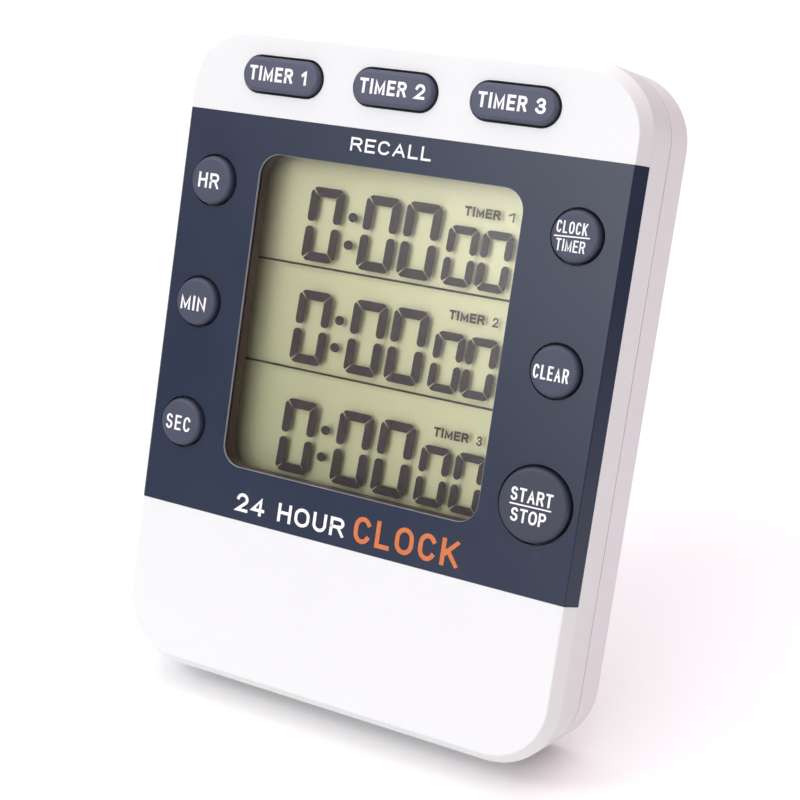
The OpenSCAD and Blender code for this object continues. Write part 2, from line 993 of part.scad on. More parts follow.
module case_screws() {
    slot = 0.3;
    head_y = screw_seat_y + screw_head_t;
    color("silver") placed() {
        for (place = case_screw_places) {
            difference() {
                union() {
                    rod(place, screw_r - 0.02, screw_seat_y - 8, screw_seat_y);
                    rod(place, screw_head_r, screw_seat_y, head_y);
                }
                box(
                    [place[0] - slot, head_y - 0.7, place[1] - 1.3],
                    [place[0] + slot, head_y + cut, place[1] + 1.3]
                );
                box(
                    [place[0] - 1.3, head_y - 0.7, place[1] - slot],
                    [place[0] + 1.3, head_y + cut, place[1] + slot]
                );
            }
        }
    }
}

front_case();
face_panel();
display_window();
lcd_bezel();
lcd_front_glass();
lcd_rear_glass();
lcd_reflector();
zebra_strips();
main_board();
chip_blob();
quartz_crystal();
chip_parts();
key_mat_left();
key_mat_right();
key_mat_top();
timer_1_key();
timer_2_key();
timer_3_key();
hour_key();
minute_key();
second_key();
clock_key();
clear_key();
start_stop_key();
buzzer_plate();
buzzer_ceramic();
buzzer_wires();
battery_wires();
rear_case();
battery_door();
aaa_cell_upper();
aaa_cell_lower();
contact_plates();
contact_springs();
stand();
stand_pin();
magnets();
case_screws();
board_screws();
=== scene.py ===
import json
import math

import bmesh
import bpy
from mathutils import Matrix, Vector


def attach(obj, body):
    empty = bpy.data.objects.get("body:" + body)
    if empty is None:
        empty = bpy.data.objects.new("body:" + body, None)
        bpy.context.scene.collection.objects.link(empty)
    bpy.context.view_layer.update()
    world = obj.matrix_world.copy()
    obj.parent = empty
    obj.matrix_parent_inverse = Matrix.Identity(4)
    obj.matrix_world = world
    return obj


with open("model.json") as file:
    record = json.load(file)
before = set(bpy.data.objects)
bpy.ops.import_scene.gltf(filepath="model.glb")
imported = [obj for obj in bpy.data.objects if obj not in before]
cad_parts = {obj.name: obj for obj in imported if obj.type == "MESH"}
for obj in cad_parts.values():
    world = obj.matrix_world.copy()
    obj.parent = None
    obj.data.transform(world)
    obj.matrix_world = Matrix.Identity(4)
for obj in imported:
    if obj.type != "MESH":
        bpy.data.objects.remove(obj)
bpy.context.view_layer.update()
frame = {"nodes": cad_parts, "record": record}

RECORD = frame["record"]
SCENE = bpy.context.scene

# ---- The upright frame of the case, in millimetres: x right, y into the case, z up the face ----

MM = 0.001
MOUNTS = {m["name"]: m for m in RECORD["mounts"]}
JOINTS = {j["name"]: j for j in RECORD["behaviour"]["joints"]}
STAND_PIN = Vector((0, 18.5, 9))
RIGHT = Vector((1, 0, 0))
INTO = Vector(MOUNTS["back"]["axis"]).normalized()
UP = RIGHT.cross(INTO).normalized()
TURN = Matrix((RIGHT, INTO, UP)).transposed()
ORIGIN = Vector(JOINTS["stand_hinge"]["pos_m"]) - TURN @ STAND_PIN * MM
UPRIGHT = Matrix.Translation(ORIGIN) @ TURN.to_4x4() @ Matrix.Scale(MM, 4)


def at(x, y, z):
    return UPRIGHT @ Vector((x, y, z))


def key_place(node):
    """The centre (x, z) of a key and the depth of its front, from its CAD mesh, to 0.05 mm."""
    points = [UPRIGHT.inverted() @ v.co for v in frame["nodes"][node].data.vertices]
    low, high = (Vector([pick(p[i] for p in points) for i in range(3)]) for pick in (min, max))
    return tuple(round(v * 20) / 20 for v in ((low.x + high.x) / 2, (low.z + high.z) / 2, low.y))


# ---- Node helpers ----


class Graph:
    """The node tree of a material or of the world, with short ways to add what it needs."""

    def __init__(self, name, world=False):
        self.mat = (bpy.data.worlds if world else bpy.data.materials).new(name)
        self.mat.use_nodes = True
        self.tree = self.mat.node_tree
        self.shader = self.tree.nodes["Background" if world else "Principled BSDF"]
        self.out = self.tree.nodes["World Output" if world else "Material Output"]
        self.coords = self.add("ShaderNodeTexCoord").outputs["Generated" if world else "Object"]

    def add(self, kind, **settings):
        node = self.tree.nodes.new(kind)
        for key, value in settings.items():
            setattr(node, key, value)
        return node

    def link(self, a, b):
        self.tree.links.new(a, b)

    def noise(self, scale, detail=2.0, stretch=None):
        tex = self.add("ShaderNodeTexNoise")
        tex.inputs["Scale"].default_value = scale
        tex.inputs["Detail"].default_value = detail
        source = self.coords
        if stretch:
            mapping = self.add("ShaderNodeMapping")
            mapping.inputs["Scale"].default_value = stretch
            self.link(source, mapping.inputs["Vector"])
            source = mapping.outputs["Vector"]
        self.link(source, tex.inputs["Vector"])
        return tex.outputs["Fac"]

    def ramp(self, fac, stops, interpolation="LINEAR"):
        ramp = self.add("ShaderNodeValToRGB")
        ramp.color_ramp.interpolation = interpolation
        elements = ramp.color_ramp.elements
        while len(elements) < len(stops):
            elements.new(0.5)
        for element, (pos, color) in zip(elements, stops):
            element.position = pos
            element.color = (*color, 1)
        self.link(fac, ramp.inputs["Fac"])
        return ramp.outputs["Color"]

    def math(self, operation, *inputs):
        node = self.add("ShaderNodeMath", operation=operation)
        for socket, value in zip(node.inputs, inputs):
            if isinstance(value, (int, float)):
                socket.default_value = value
            else:
                self.link(value, socket)
        return node.outputs["Value"]

    def along(self, direction):
        """How far a point lies in a direction."""
        node = self.add("ShaderNodeVectorMath", operation="DOT_PRODUCT")
        node.inputs[1].default_value = direction
        self.link(self.coords, node.inputs[0])
        return node.outputs["Value"]

    def span(self, fac, low, high, to_low, to_high, smooth=False):
        """A value between low and high, mapped to between to_low and to_high."""
        node = self.add("ShaderNodeMapRange")
        if smooth:
            node.interpolation_type = "SMOOTHSTEP"
        for key, value in (("From Min", low), ("From Max", high), ("To Min", to_low), ("To Max", to_high)):
            node.inputs[key].default_value = value
        self.link(fac, node.inputs["Value"])
        return node.outputs["Result"]

    def bump(self, height, distance, strength=1.0, below=None):
        node = self.add("ShaderNodeBump")
        node.inputs["Strength"].default_value = strength
        node.inputs["Distance"].default_value = distance
        self.link(height, node.inputs["Height"])
        if below:
            self.link(below, node.inputs["Normal"])
        return node.outputs["Normal"]

    def see_through(self, fac, tint=(1, 1, 1)):
        """Mix the shader with clear: fac 0 is all clear, fac 1 is all shader."""
        through = self.add("ShaderNodeBsdfTransparent")
        through.inputs["Color"].default_value = (*tint, 1)
        mix = self.add("ShaderNodeMixShader")
        if isinstance(fac, float):
            mix.inputs["Fac"].default_value = fac
        else:
            self.link(fac, mix.inputs["Fac"])
        self.link(through.outputs["BSDF"], mix.inputs[1])
        self.link(self.shader.outputs["BSDF"], mix.inputs[2])
        self.link(mix.outputs["Shader"], self.out.inputs["Surface"])

    def set(self, **values):
        for key, value in values.items():
            self.shader.inputs[key.replace("_", " ")].default_value = value


# ---- Materials. A pair of colours is where the noise is high and where it is low ----


def plastic(name, light, dark, rough, grain=2600.0, depth=2.0e-6):
    """Moulded plastic: a fine spark-eroded grain, faint flow variation and uneven gloss."""
    g = Graph(name)
    g.link(g.ramp(g.noise(28, 3), [(0.1, dark), (0.9, light)]), g.shader.inputs["Base Color"])
    gloss = g.span(g.noise(90, 3), 0.0, 1.0, rough - 0.06, rough + 0.06)
    g.link(gloss, g.shader.inputs["Roughness"])
    fine = g.bump(g.noise(grain), depth)
    g.link(g.bump(g.noise(160), depth * 3, 0.5, fine), g.shader.inputs["Normal"])
    g.set(IOR=1.5)
    return g.mat


def metal(name, light, dark, rough, stretch=(1, 1, 1)):
    """Metal with fine marks, which run along an axis where the noise is stretched."""
    g = Graph(name)
    marks = g.ramp(g.noise(900, 3, stretch), [(0.3, dark), (0.7, light)])
    g.link(marks, g.shader.inputs["Base Color"])
    gloss = g.span(g.noise(400, 3), 0.3, 0.7, rough - 0.06, rough + 0.08)
    g.link(gloss, g.shader.inputs["Roughness"])
    g.link(g.bump(g.noise(2200, stretch=stretch), 2e-6), g.shader.inputs["Normal"])
    g.set(Metallic=1.0)
    return g.mat


def clear(name, tint, rough):
    """Clear sheet: light passes through it, and its outer face still shines."""
    g = Graph(name)
    shine = g.ramp(g.noise(60), [(0.3, (0.93, 0.93, 0.95)), (0.7, (1, 1, 1))])
    g.link(shine, g.shader.inputs["Base Color"])
    g.link(g.span(g.noise(500, 3), 0.3, 0.7, rough, rough + 0.05), g.shader.inputs["Roughness"])
    g.set(Metallic=1.0)
    fresnel = g.add("ShaderNodeFresnel")
    fresnel.inputs["IOR"].default_value = 1.47
    outside = g.math("SUBTRACT", 1.0, g.add("ShaderNodeNewGeometry").outputs["Backfacing"])
    g.see_through(g.math("MULTIPLY", fresnel.outputs["Fac"], outside), tint)
    return g.mat


def print_ink(name, light, dark):
    """Screen-printed ink, slightly uneven where the mesh left it thin."""
    g = Graph(name)
    g.link(g.ramp(g.noise(1500), [(0.3, dark), (0.65, light)]), g.shader.inputs["Base Color"])
    g.link(g.bump(g.noise(3500, 1), 3e-6), g.shader.inputs["Normal"])
    g.set(Roughness=0.5)
    return g.mat


def lcd_ink(name, dark, through):
    """Liquid crystal that is switched on: dark, but some light still passes."""
    g = Graph(name)
    light = tuple(c * 1.25 for c in dark)
    g.link(g.ramp(g.noise(700), [(0.3, dark), (0.7, light)]), g.shader.inputs["Base Color"])
    g.set(Roughness=0.6)
    g.see_through(1 - through)
    return g.mat


def reflector_material():
    """Yellow-green reflector with the strong shine of a pearl film, and a painted sheen: its colour is
    painted lighter and warmer towards its upper right.
    """
    g = Graph("lcd_back")
    # Painted sheen: the base colour runs from dull olive at the lower left to pale warm yellow at the upper
    # right, where the glow shows in the display
    painted_sheen = g.span(g.along((0.55, 0.0, 0.84)), 0.02, 0.1, 0.0, 1.0)
    base = g.ramp(painted_sheen, [(0.0, (0.47, 0.49, 0.335)), (1.0, (0.98, 0.92, 0.68))])
    mix = g.add("ShaderNodeMix", data_type="RGBA", blend_type="MULTIPLY")
    mix.inputs["Factor"].default_value = 1.0
    g.link(base, mix.inputs["A"])
    g.link(g.ramp(g.noise(2400), [(0.3, (0.9, 0.9, 0.88)), (0.7, (1, 1, 1))]), mix.inputs["B"])
    g.link(mix.outputs["Result"], g.shader.inputs["Base Color"])
    g.link(g.bump(g.noise(3000), 4e-6), g.shader.inputs["Normal"])
    g.set(Roughness=0.36, IOR=4.0, Specular_Tint=(1.0, 0.94, 0.72, 1))
    return g.mat


def board_material():
    """Circuit board: solder mask over copper tracks."""
    g = Graph("board_green")
    tracks = g.add("ShaderNodeTexBrick")
    for key, value in (("Scale", 260.0), ("Mortar Size", 0.018), ("Brick Width", 0.9), ("Row Height", 0.32),
                       ("Color1", (0.012, 0.12, 0.05, 1)), ("Color2", (0.016, 0.14, 0.06, 1)),
                       ("Mortar", (0.05, 0.26, 0.1, 1))):
        tracks.inputs[key].default_value = value
    mapping = g.add("ShaderNodeMapping")
    mapping.inputs["Rotation"].default_value = (math.pi / 2, 0, 0)
    g.link(g.coords, mapping.inputs["Vector"])
    g.link(mapping.outputs["Vector"], tracks.inputs["Vector"])
    g.link(tracks.outputs["Color"], g.shader.inputs["Base Color"])
    g.link(g.bump(tracks.outputs["Fac"], 2e-5, 0.6), g.shader.inputs["Normal"])
    g.set(Roughness=0.3)
    return g.mat


def cell_material():
    """Battery jacket with coloured bands along its length, and bare metal at both ends."""
    g = Graph("cell_jacket")
    half_length = 25.6 * MM
    bare, teal, line, blue = (0.7, 0.7, 0.71), (0.05, 0.26, 0.3), (0.75, 0.76, 0.77), (0.035, 0.06, 0.09)
    bands = [(0.0, bare), (0.145, teal), (0.3, line), (0.32, blue), (0.84, teal), (0.965, bare)]
    place = g.span(g.along((1, 0, 0)), -half_length, half_length, 0.0, 1.0)
    g.link(g.ramp(place, bands, "CONSTANT"), g.shader.inputs["Base Color"])
    g.link(g.bump(g.noise(700), 5e-6), g.shader.inputs["Normal"])
    g.set(Roughness=0.28, Coat_Weight=0.3)
    return g.mat


CASE = plastic("case_white", (0.75, 0.765, 0.765), (0.725, 0.74, 0.74), 0.34)
REAR = plastic("rear_white", (0.8, 0.785, 0.8), (0.77, 0.755, 0.77), 0.46, 1500, 6e-6)
PANEL = plastic("panel_navy", (0.018, 0.028, 0.057), (0.016, 0.025, 0.052), 0.25, 2200, 1.2e-6)
KEY = plastic("key_rubber", (0.044, 0.053, 0.089), (0.038, 0.046, 0.078), 0.5, 1900, 7e-6)
# Painted light: the oval keys are the same rubber as the others, painted lighter where they catch more light
OVAL_KEY_PAINTED_LIGHT = plastic("oval_key_rubber_painted_light", (0.066, 0.073, 0.121), (0.058, 0.064, 0.107), 0.5, 1900, 7e-6)
# Painted shade: the START/STOP key is the same rubber as the others, painted darker where it lies in more
# shade
START_KEY_PAINTED_SHADE = plastic("start_key_rubber_painted_shade", (0.03, 0.037, 0.064), (0.026, 0.032, 0.056), 0.5, 1900, 7e-6)
BEZEL = plastic("bezel_brown", (0.07, 0.045, 0.036), (0.05, 0.032, 0.026), 0.6, 1600, 5e-6)
RIM = plastic("window_rim", (0.34, 0.35, 0.38), (0.28, 0.29, 0.32), 0.3)
LENS = clear("clear_lens", (0.97, 0.975, 0.96), 0.04)
GLASS = clear("lcd_glass", (0.97, 0.975, 0.96), 0.12)
WHITE_INK = print_ink("ink_white", (0.93, 0.93, 0.95), (0.84, 0.84, 0.87))
ORANGE_INK = print_ink("ink_orange", (0.62, 0.165, 0.038), (0.54, 0.14, 0.034))
SEGMENT = lcd_ink("lcd_segment", (0.045, 0.028, 0.04), 0.08)
LABEL = lcd_ink("lcd_label", (0.06, 0.04, 0.05), 0.2)
DIVIDER = lcd_ink("lcd_divider", (0.035, 0.026, 0.022), 0.05)
REFLECTOR = reflector_material()
BOARD = board_material()
STEEL = metal("bright_steel", (0.74, 0.74, 0.75), (0.62, 0.62, 0.64), 0.26, (1, 1, 8))
BRASS = metal("buzzer_brass", (0.83, 0.66, 0.33), (0.7, 0.54, 0.26), 0.3)
CERAMIC = plastic("buzzer_white", (0.86, 0.85, 0.8), (0.78, 0.76, 0.7), 0.5, 900, 6e-6)
MAGNET = plastic("magnet_dark", (0.13, 0.13, 0.14), (0.08, 0.08, 0.085), 0.42, 1100, 9e-6)
SILICONE = plastic("mat_silicone", (0.6, 0.61, 0.63), (0.52, 0.53, 0.55), 0.55, 1300, 5e-6)
ZEBRA = plastic("zebra_rubber", (0.2, 0.2, 0.21), (0.08, 0.08, 0.085), 0.6, 1400, 5e-6)
EPOXY = plastic("chip_epoxy", (0.016, 0.016, 0.017), (0.01, 0.01, 0.01), 0.22, 400, 2e-5)
CHIPS = plastic("chip_tan", (0.5, 0.37, 0.22), (0.4, 0.29, 0.17), 0.5)
WIRE = plastic("wire_red", (0.52, 0.035, 0.03), (0.4, 0.025, 0.02), 0.4)
CELL = cell_material()

LOOKS = (
    (CASE, ("front_case",)),
    (REAR, ("rear_case", "battery_door", "stand")),
    (PANEL, ("face_panel",)),
    (KEY, ("hour_key", "minute_key", "second_key", "clock_key", "clear_key")),
    (OVAL_KEY_PAINTED_LIGHT, ("timer_1_key", "timer_2_key", "timer_3_key")),
    (START_KEY_PAINTED_SHADE, ("start_stop_key",)),
    (BEZEL, ("lcd_bezel",)),
    (LENS, ("display_window",)),
    (GLASS, ("lcd_front_glass", "lcd_rear_glass")),
    (REFLECTOR, ("lcd_reflector",)),
    (BOARD, ("main_board",)),
    (STEEL, ("quartz_crystal", "contact_plates", "contact_springs", "stand_pin", "case_screws",
             "board_screws")),
    (BRASS, ("buzzer_plate",)),
    (CERAMIC, ("buzzer_ceramic",)),
    (MAGNET, ("magnets",)),
    (SILICONE, ("key_mat_left", "key_mat_right", "key_mat_top")),
    (ZEBRA, ("zebra_strips",)),
    (EPOXY, ("chip_blob",)),
    (CHIPS, ("chip_parts",)),
    (WIRE, ("buzzer_wires", "battery_wires")),
    (CELL, ("aaa_cell_upper", "aaa_cell_lower")),
)
for material, nodes in LOOKS:
    for node in nodes:
        mesh = frame["nodes"][node].data
        mesh.materials.clear()
        mesh.materials.append(material)


# ---- Pieces that only show: outlines are lists of (x, z) in the upright frame ----


def finish_mesh(name, bm):
    bmesh.ops.recalc_face_normals(bm, faces=bm.faces)
    mesh = bpy.data.meshes.new(name)
    bm.to_mesh(mesh)
    bm.free()
    return mesh


def new_piece(name, body, mesh, material):
    obj = bpy.data.objects.new(name, mesh)
    SCENE.collection.objects.link(obj)
    mesh.materials.append(material)
    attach(obj, body)


def plates(name, outlines, front, thickness, body, slot, material):
    """Closed plates that reach from depth front into the case by a thickness."""
    bm = bmesh.new()
    for outline in outlines:
        near = [bm.verts.new(at(x, front, z)) for x, z in outline]
        far = [bm.verts.new(at(x, front + thickness, z)) for x, z in outline]
        bm.faces.new(near)
        bm.faces.new(far[::-1])
        for i in range(len(near)):
            j = (i + 1) % len(near)
            bm.faces.new((near[j], near[i], far[i], far[j]))
    new_piece(name, body, finish_mesh(name, bm), material)


def arc(cx, cz, rx, rz, start, end, steps=10):
    """Points on part of an ellipse, with angles in quarter turns."""
    angles = [math.pi / 2 * (start + (end - start) * i / steps) for i in range(steps + 1)]
    return [(cx + rx * math.cos(a), cz + rz * math.sin(a)) for a in angles]


# Each letter: its width next to the others, and its strokes in a box from 0 to 1
GLYPHS = {
    "A": (1.05, [[(0, 0), (0.5, 1), (1, 0)], [(0.2, 0.33), (0.8, 0.33)]]),
    "C": (1.0, [arc(0.5, 0.62, 0.5, 0.38, 0.35, 2) + arc(0.5, 0.38, 0.5, 0.38, 2, 3.65)]),
    "E": (0.85, [[(1, 1), (0, 1), (0, 0), (1, 0)], [(0, 0.52), (0.88, 0.52)]]),
    "H": (0.95, [[(0, 0), (0, 1)], [(1, 0), (1, 1)], [(0, 0.52), (1, 0.52)]]),
    "I": (0.0, [[(0, 0), (0, 1)]]),
    "K": (1.0, [[(0, 0), (0, 1)], [(0.95, 1), (0.02, 0.36)], [(0.33, 0.58), (1, 0)]]),
    "L": (0.8, [[(0, 1), (0, 0), (1, 0)]]),
    "M": (1.2, [[(0, 0), (0, 1), (0.5, 0.02), (1, 1), (1, 0)]]),
    "N": (1.0, [[(0, 0), (0, 1), (1, 0), (1, 1)]]),
    "O": (1.08, [arc(0.5, 0.62, 0.5, 0.38, 0, 2) + arc(0.5, 0.38, 0.5, 0.38, 2, 4) + [(1, 0.62)]]),
    "P": (0.9, [[(0, 0), (0, 1)] + arc(0.62, 0.74, 0.38, 0.26, 1, -1) + [(0, 0.48)]]),
    "R": (1.0, [[(0, 0), (0, 1)] + arc(0.62, 0.75, 0.36, 0.25, 1, -1) + [(0, 0.5)], [(0.58, 0.5), (1, 0)]]),
    "S": (0.95, [arc(0.5, 0.76, 0.44, 0.24, 0.3, 2) + arc(0.5, 0.76, 0.44, 0.24, 2, 2.8)[1:]
                 + arc(0.5, 0.26, 0.48, 0.26, 0.8, 0)[1:] + arc(0.5, 0.26, 0.48, 0.26, 0, -1.75)[1:]]),
    "T": (0.95, [[(0, 1), (1, 1)], [(0.5, 1), (0.5, 0)]]),
    "U": (0.95, [[(0, 1)] + arc(0.5, 0.36, 0.5, 0.36, 2, 4) + [(1, 1)]]),
    "1": (0.4, [[(0, 0.7), (0.8, 0.92), (1, 1), (1, 0)]]),
    "2": (0.85, [arc(0.5, 0.7, 0.48, 0.3, 1.9, -0.35) + [(0.02, 0), (1, 0)]]),
    "3": (0.85, [arc(0.47, 0.755, 0.42, 0.245, 1.85, -1) + [(0.4, 0.51)],
                 [(0.4, 0.51)] + arc(0.47, 0.255, 0.5, 0.255, 1, -1.85)]),
    "4": (0.95, [[(1, 0.26), (0, 0.26), (0.72, 1), (0.72, 0)]]),
    " ": (0.35, []),
}
PRINT_RISE = 0.03  # how far print stands out of its surface
PRINT_SINK = 0.005  # how far its back reaches into the surface
STROKE_STEP = 0.002  # each later stroke of a letter stands out a little more, so no two faces coincide
SHARPEST_MITRE = 0.38  # cosine of half a corner's turn, below which its mitre gets no longer


def stroke_edges(points, half):
    """The two edges of a stroke along some points, with mitred corners and square ends."""
    pts = [Vector(p) for p in points]
    pts = [p for i, p in enumerate(pts) if i == 0 or (p - pts[i - 1]).length > 1e-4]
    closed = (pts[0] - pts[-1]).length < 1e-3
    if closed:
        pts = pts[:-1]
    n = len(pts)
    left, right = [], []
    for i, p in enumerate(pts):
        before = (p - pts[i - 1]).normalized() if i or closed else None
        after = (pts[(i + 1) % n] - p).normalized() if i < n - 1 or closed else None
        if before is None:
            p, before = p - after * half, after
        elif after is None:
            p, after = p + before * half, before
        across = Vector((-after.y, after.x))
        normal = (Vector((-before.y, before.x)) + across).normalized()
        reach = half / max(SHARPEST_MITRE, normal.dot(across))
        left.append(p + normal * reach)
        right.append(p - normal * reach)
    return left, right, closed


def add_stroke(bm, left, right, closed, near_y, far_y):
    near = [[bm.verts.new(at(p.x, near_y, p.y)) for p in side] for side in (left, right)]
    far = [[bm.verts.new(at(p.x, far_y, p.y)) for p in side] for side in (left, right)]
    count = len(left)
    for i in range(count if closed else count - 1):
        j = (i + 1) % count
        bm.faces.new((near[0][i], near[0][j], near[1][j], near[1][i]))
        bm.faces.new((far[1][i], far[1][j], far[0][j], far[0][i]))
        bm.faces.new((near[0][j], near[0][i], far[0][i], far[0][j]))
        bm.faces.new((near[1][i], near[1][j], far[1][j], far[1][i]))
    if not closed:
        for i in (0, -1):
            bm.faces.new((near[0][i], near[1][i], far[1][i], far[0][i]))


def letters(name, text, low, high, front, body, slot, material, stroke=0.15, gap=0.2, rise=PRINT_RISE):
    """A word that fills the space between two corners (x, z), a little proud of depth front.
    stroke and gap are parts of the letters' height."""
    height = high[1] - low[1]
    line = stroke * height
    gaps = gap * height * (len(text) - 1)
    unit = (high[0] - low[0] - gaps - line * len(text)) / sum(GLYPHS[c][0] for c in text)
    bm = bmesh.new()
    x = low[0]
    for c in text:
        width, strokes = GLYPHS[c]
        for k, points in enumerate(strokes):
            placed = [(x + line / 2 + px * width * unit, low[1] + line / 2 + pz * (height - line))
                      for px, pz in points]
            left, right, closed = stroke_edges(placed, line / 2)
            for p in left + right:
                p.y = min(max(p.y, low[1]), high[1])
            add_stroke(bm, left, right, closed, front - rise - STROKE_STEP * k, front + PRINT_SINK)
        x += width * unit + line + gap * height
    new_piece(name, body, finish_mesh(name, bm), material)


# ---- Print on the keys: corners from the key's centre ----

WHITE_PRINT = ("print_white", WHITE_INK)
KEY_WORDS = (
    # piece, key, word, low corner, high corner, stroke, gap
    ("label_hr", "hour_key", "HR", (-2.7, -1.55), (1.8, 1.25), 0.16, 0.2),
    ("label_min", "minute_key", "MIN", (-3.2, -1.75), (2.3, 1.0), 0.16, 0.2),
    ("label_sec", "second_key", "SEC", (-3.15, -1.65), (2.35, 1.15), 0.14, 0.2),
    ("label_clock", "clock_key", "CLOCK", (-3.4, 0.3), (2.1, 2.35), 0.13, 0.13),
    ("label_timer", "clock_key", "TIMER", (-3.1, -2.65), (2.1, -0.65), 0.13, 0.13),
    ("label_clear", "clear_key", "CLEAR", (-3.6, -1.6), (2.8, 0.8), 0.14, 0.13),
    ("label_start", "start_stop_key", "START", (-4.2, 0.2), (3.5, 2.55), 0.16, 0.12),
    ("label_stop", "start_stop_key", "STOP", (-3.7, -3.3), (2.8, -0.95), 0.16, 0.12),
)
KEY_BARS = (
    # piece, key, left end, right end, half its width
    ("label_clock_bar", "clock_key", (-3.65, -0.3), (2.7, 0.0), 0.11),
    ("label_start_bar", "start_stop_key", (-4.2, -0.35), (3.5, -0.3), 0.12),
)
OVAL_WORDS = (
    # from x to x of the word TIMER and of its figure
    ((-6.5, 2.7), (4.5, 5.6)),
    ((-6.45, 2.85), (4.55, 6.5)),
    ((-6.4, 2.7), (4.3, 6.2)),
)
OVAL_PRINT_Z = (-1.2, 1.4)
for name, key, word, low, high, stroke, gap in KEY_WORDS:
    x, z, front = key_place(key)
    letters(name, word, (x + low[0], z + low[1]), (x + high[0], z + high[1]), front, key, *WHITE_PRINT,
            stroke=stroke, gap=gap)
for name, key, a, b, half in KEY_BARS:
    x, z, front = key_place(key)
    outline = [(x + a[0], z + a[1] - half), (x + b[0], z + b[1] - half),
               (x + b[0], z + b[1] + half), (x + a[0], z + a[1] + half)]
    plates(name, [outline], front - PRINT_RISE, PRINT_RISE + PRINT_SINK, key, *WHITE_PRINT)
for number, spans in enumerate(OVAL_WORDS, 1):
    key = f"timer_{number}_key"
    x, z, front = key_place(key)
    low_z, high_z = (z + v for v in OVAL_PRINT_Z)
    for kind, word, (start, end) in zip(("word", "figure"), ("TIMER", str(number)), spans):
        letters(f"label_timer_{kind}_{number}", word, (x + start, low_z), (x + end, high_z), front, key,
                *WHITE_PRINT, stroke=0.19, gap=0.17)

# ---- Print on the panel, whose front is at depth 0 ----

letters("title_hours", "24 HOUR", (-22.9, 32.35), (0.3, 35.8), 0.0, "case", *WHITE_PRINT,
        stroke=0.17, gap=0.22)
letters("title_clock", "CLOCK", (2.3, 32.2), (23.3, 37.1), 0.0, "case", "print_orange", ORANGE_INK,
        stroke=0.17, gap=0.2)
letters("title_recall", "RECALL", (-9.2, 100.55), (6.9, 102.95), 0.0, "case", *WHITE_PRINT,
        stroke=0.16, gap=0.25)

# ---- The bright cut edge all round the window opening, inside the panel's thickness ----

WINDOW = (-0.95, 69.2, 52.9, 57.8)  # centre x and z, width, height
WINDOW_R = 4
RIM_OUT, RIM_IN = 0.02, -0.06  # how far the rim lies outside and inside the opening's outline
RIM_DEPTHS = (0.03, 0.46)


def rounded(cx, cz, w, h, r):
    """A rectangle with round corners."""
    corners = ((1, 1, 0), (-1, 1, 1), (-1, -1, 2), (1, -1, 3))
    return [p for sx, sz, q in corners
            for p in arc(cx + sx * (w / 2 - r), cz + sz * (h / 2 - r), r, r, q, q + 1)]


def window_rim():
    cx, cz, w, h = WINDOW
    near, far = RIM_DEPTHS
    bm = bmesh.new()
    loops = [[bm.verts.new(at(x, y, z))
              for x, z in rounded(cx, cz, w + 2 * grow, h + 2 * grow, WINDOW_R + grow)]
             for grow, y in ((RIM_OUT, near), (RIM_IN, near), (RIM_IN, far), (RIM_OUT, far))]
    for k, loop in enumerate(loops):
        following = loops[(k + 1) % len(loops)]
        for i in range(len(loop)):
            j = (i + 1) % len(loop)
            bm.faces.new((loop[i], loop[j], following[j], following[i]))
    new_piece("window_rim", "case", finish_mesh("window_rim", bm), RIM)


window_rim()

# ---- What the display shows: three rows of zeros, each with a small label, and two dividing lines ----

SEGMENT_Y = 4.765  # in the gap between the two glasses
SEGMENT_T = 0.02
SLANT = 0.042
CUT = 0.16  # half the gap between two segments, measured along each
BEVEL = 0.38  # how much the outer corners are cut off
BEVEL_Z, BEVEL_X = 1.0, 1.1  # where the cut of an outer corner starts, down and across from the corner
WAIST_CORNER, WAIST_POINT, POINT_X = 0.95, 0.45, 0.42  # an upright's pointed end, from the waist and sides
DOT_R = 0.86
DOT_STRETCH = 1.12
LINE_HALF = 0.2


def zero(x, z, w, h, t):
    """The six outlines of a figure 0, with mitred corners and pointed ends at its waist."""
    mid = h / 2
    upright = [(0, mid + WAIST_CORNER), (POINT_X, mid + WAIST_POINT), (t - POINT_X, mid + WAIST_POINT),
               (t, mid + WAIST_CORNER), (t, h - t - CUT), (BEVEL, h - BEVEL - CUT), (0, h - BEVEL_Z)]
    across = [(BEVEL + CUT, h - BEVEL), (BEVEL_X, h), (w - BEVEL_X, h), (w - BEVEL - CUT, h - BEVEL),
              (w - t - CUT, h - t), (t + CUT, h - t)]
    shapes = [upright, [(w - a, b) for a, b in upright], across]
    shapes += [[(a, h - b) for a, b in s] for s in shapes]
    return [[(x + a + b * SLANT, z + b) for a, b in s] for s in shapes]


def dot(x, z):
    """The outline of one dot of a colon."""
    angles = [2 * math.pi * i / 20 for i in range(20)]
    return [(x + DOT_R * DOT_STRETCH * math.cos(a), z + DOT_R * math.sin(a)) for a in angles]


